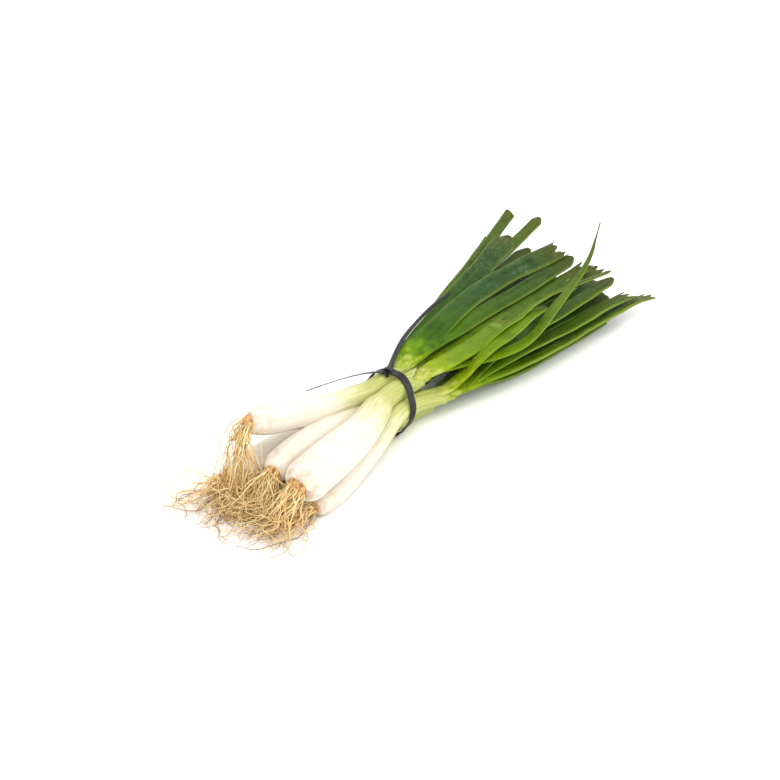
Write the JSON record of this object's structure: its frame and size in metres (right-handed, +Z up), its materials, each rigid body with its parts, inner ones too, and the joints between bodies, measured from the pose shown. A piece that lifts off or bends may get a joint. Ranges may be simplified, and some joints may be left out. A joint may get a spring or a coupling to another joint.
{
  "type": "spring onion bunch",
  "caption": "Bunch of spring onions lying on its side, with white shanks, green leaves and straw-coloured roots, tied at the neck with a thin black strip.",
  "frame": {"origin": "on the table, at the middle of the flat foot of the strip that ties the necks", "axes": "+X from the roots to the leaf tips, +Z up from the table, +Y across the bunch"},
  "size_m": [0.3801, 0.1318, 0.0536],
  "materials": {
    "white_shank": "smooth, moist skin",
    "green_leaf": "waxy leaf",
    "straw_root": "dry, matt",
    "black_strip": "thin plastic film strip"
  },
  "bodies": {
    "root": {"front_low_shank": "white_shank", "front_low_leaves": "green_leaf", "front_low_roots": "straw_root", "middle_front_low_shank": "white_shank", "middle_front_low_leaves": "green_leaf", "middle_front_low_roots": "straw_root", "middle_back_low_shank": "white_shank", "middle_back_low_leaves": "green_leaf", "middle_back_low_roots": "straw_root", "back_low_shank": "white_shank", "back_low_leaves": "green_leaf", "back_low_roots": "straw_root", "middle_top_shank": "white_shank", "middle_top_leaves": "green_leaf", "middle_top_roots": "straw_root", "front_top_shank": "white_shank", "front_top_leaves": "green_leaf", "front_top_roots": "straw_root", "back_top_shank": "white_shank", "back_top_leaves": "green_leaf", "back_top_roots": "straw_root", "tie": "black_strip"}
  },
  "joints": []
}
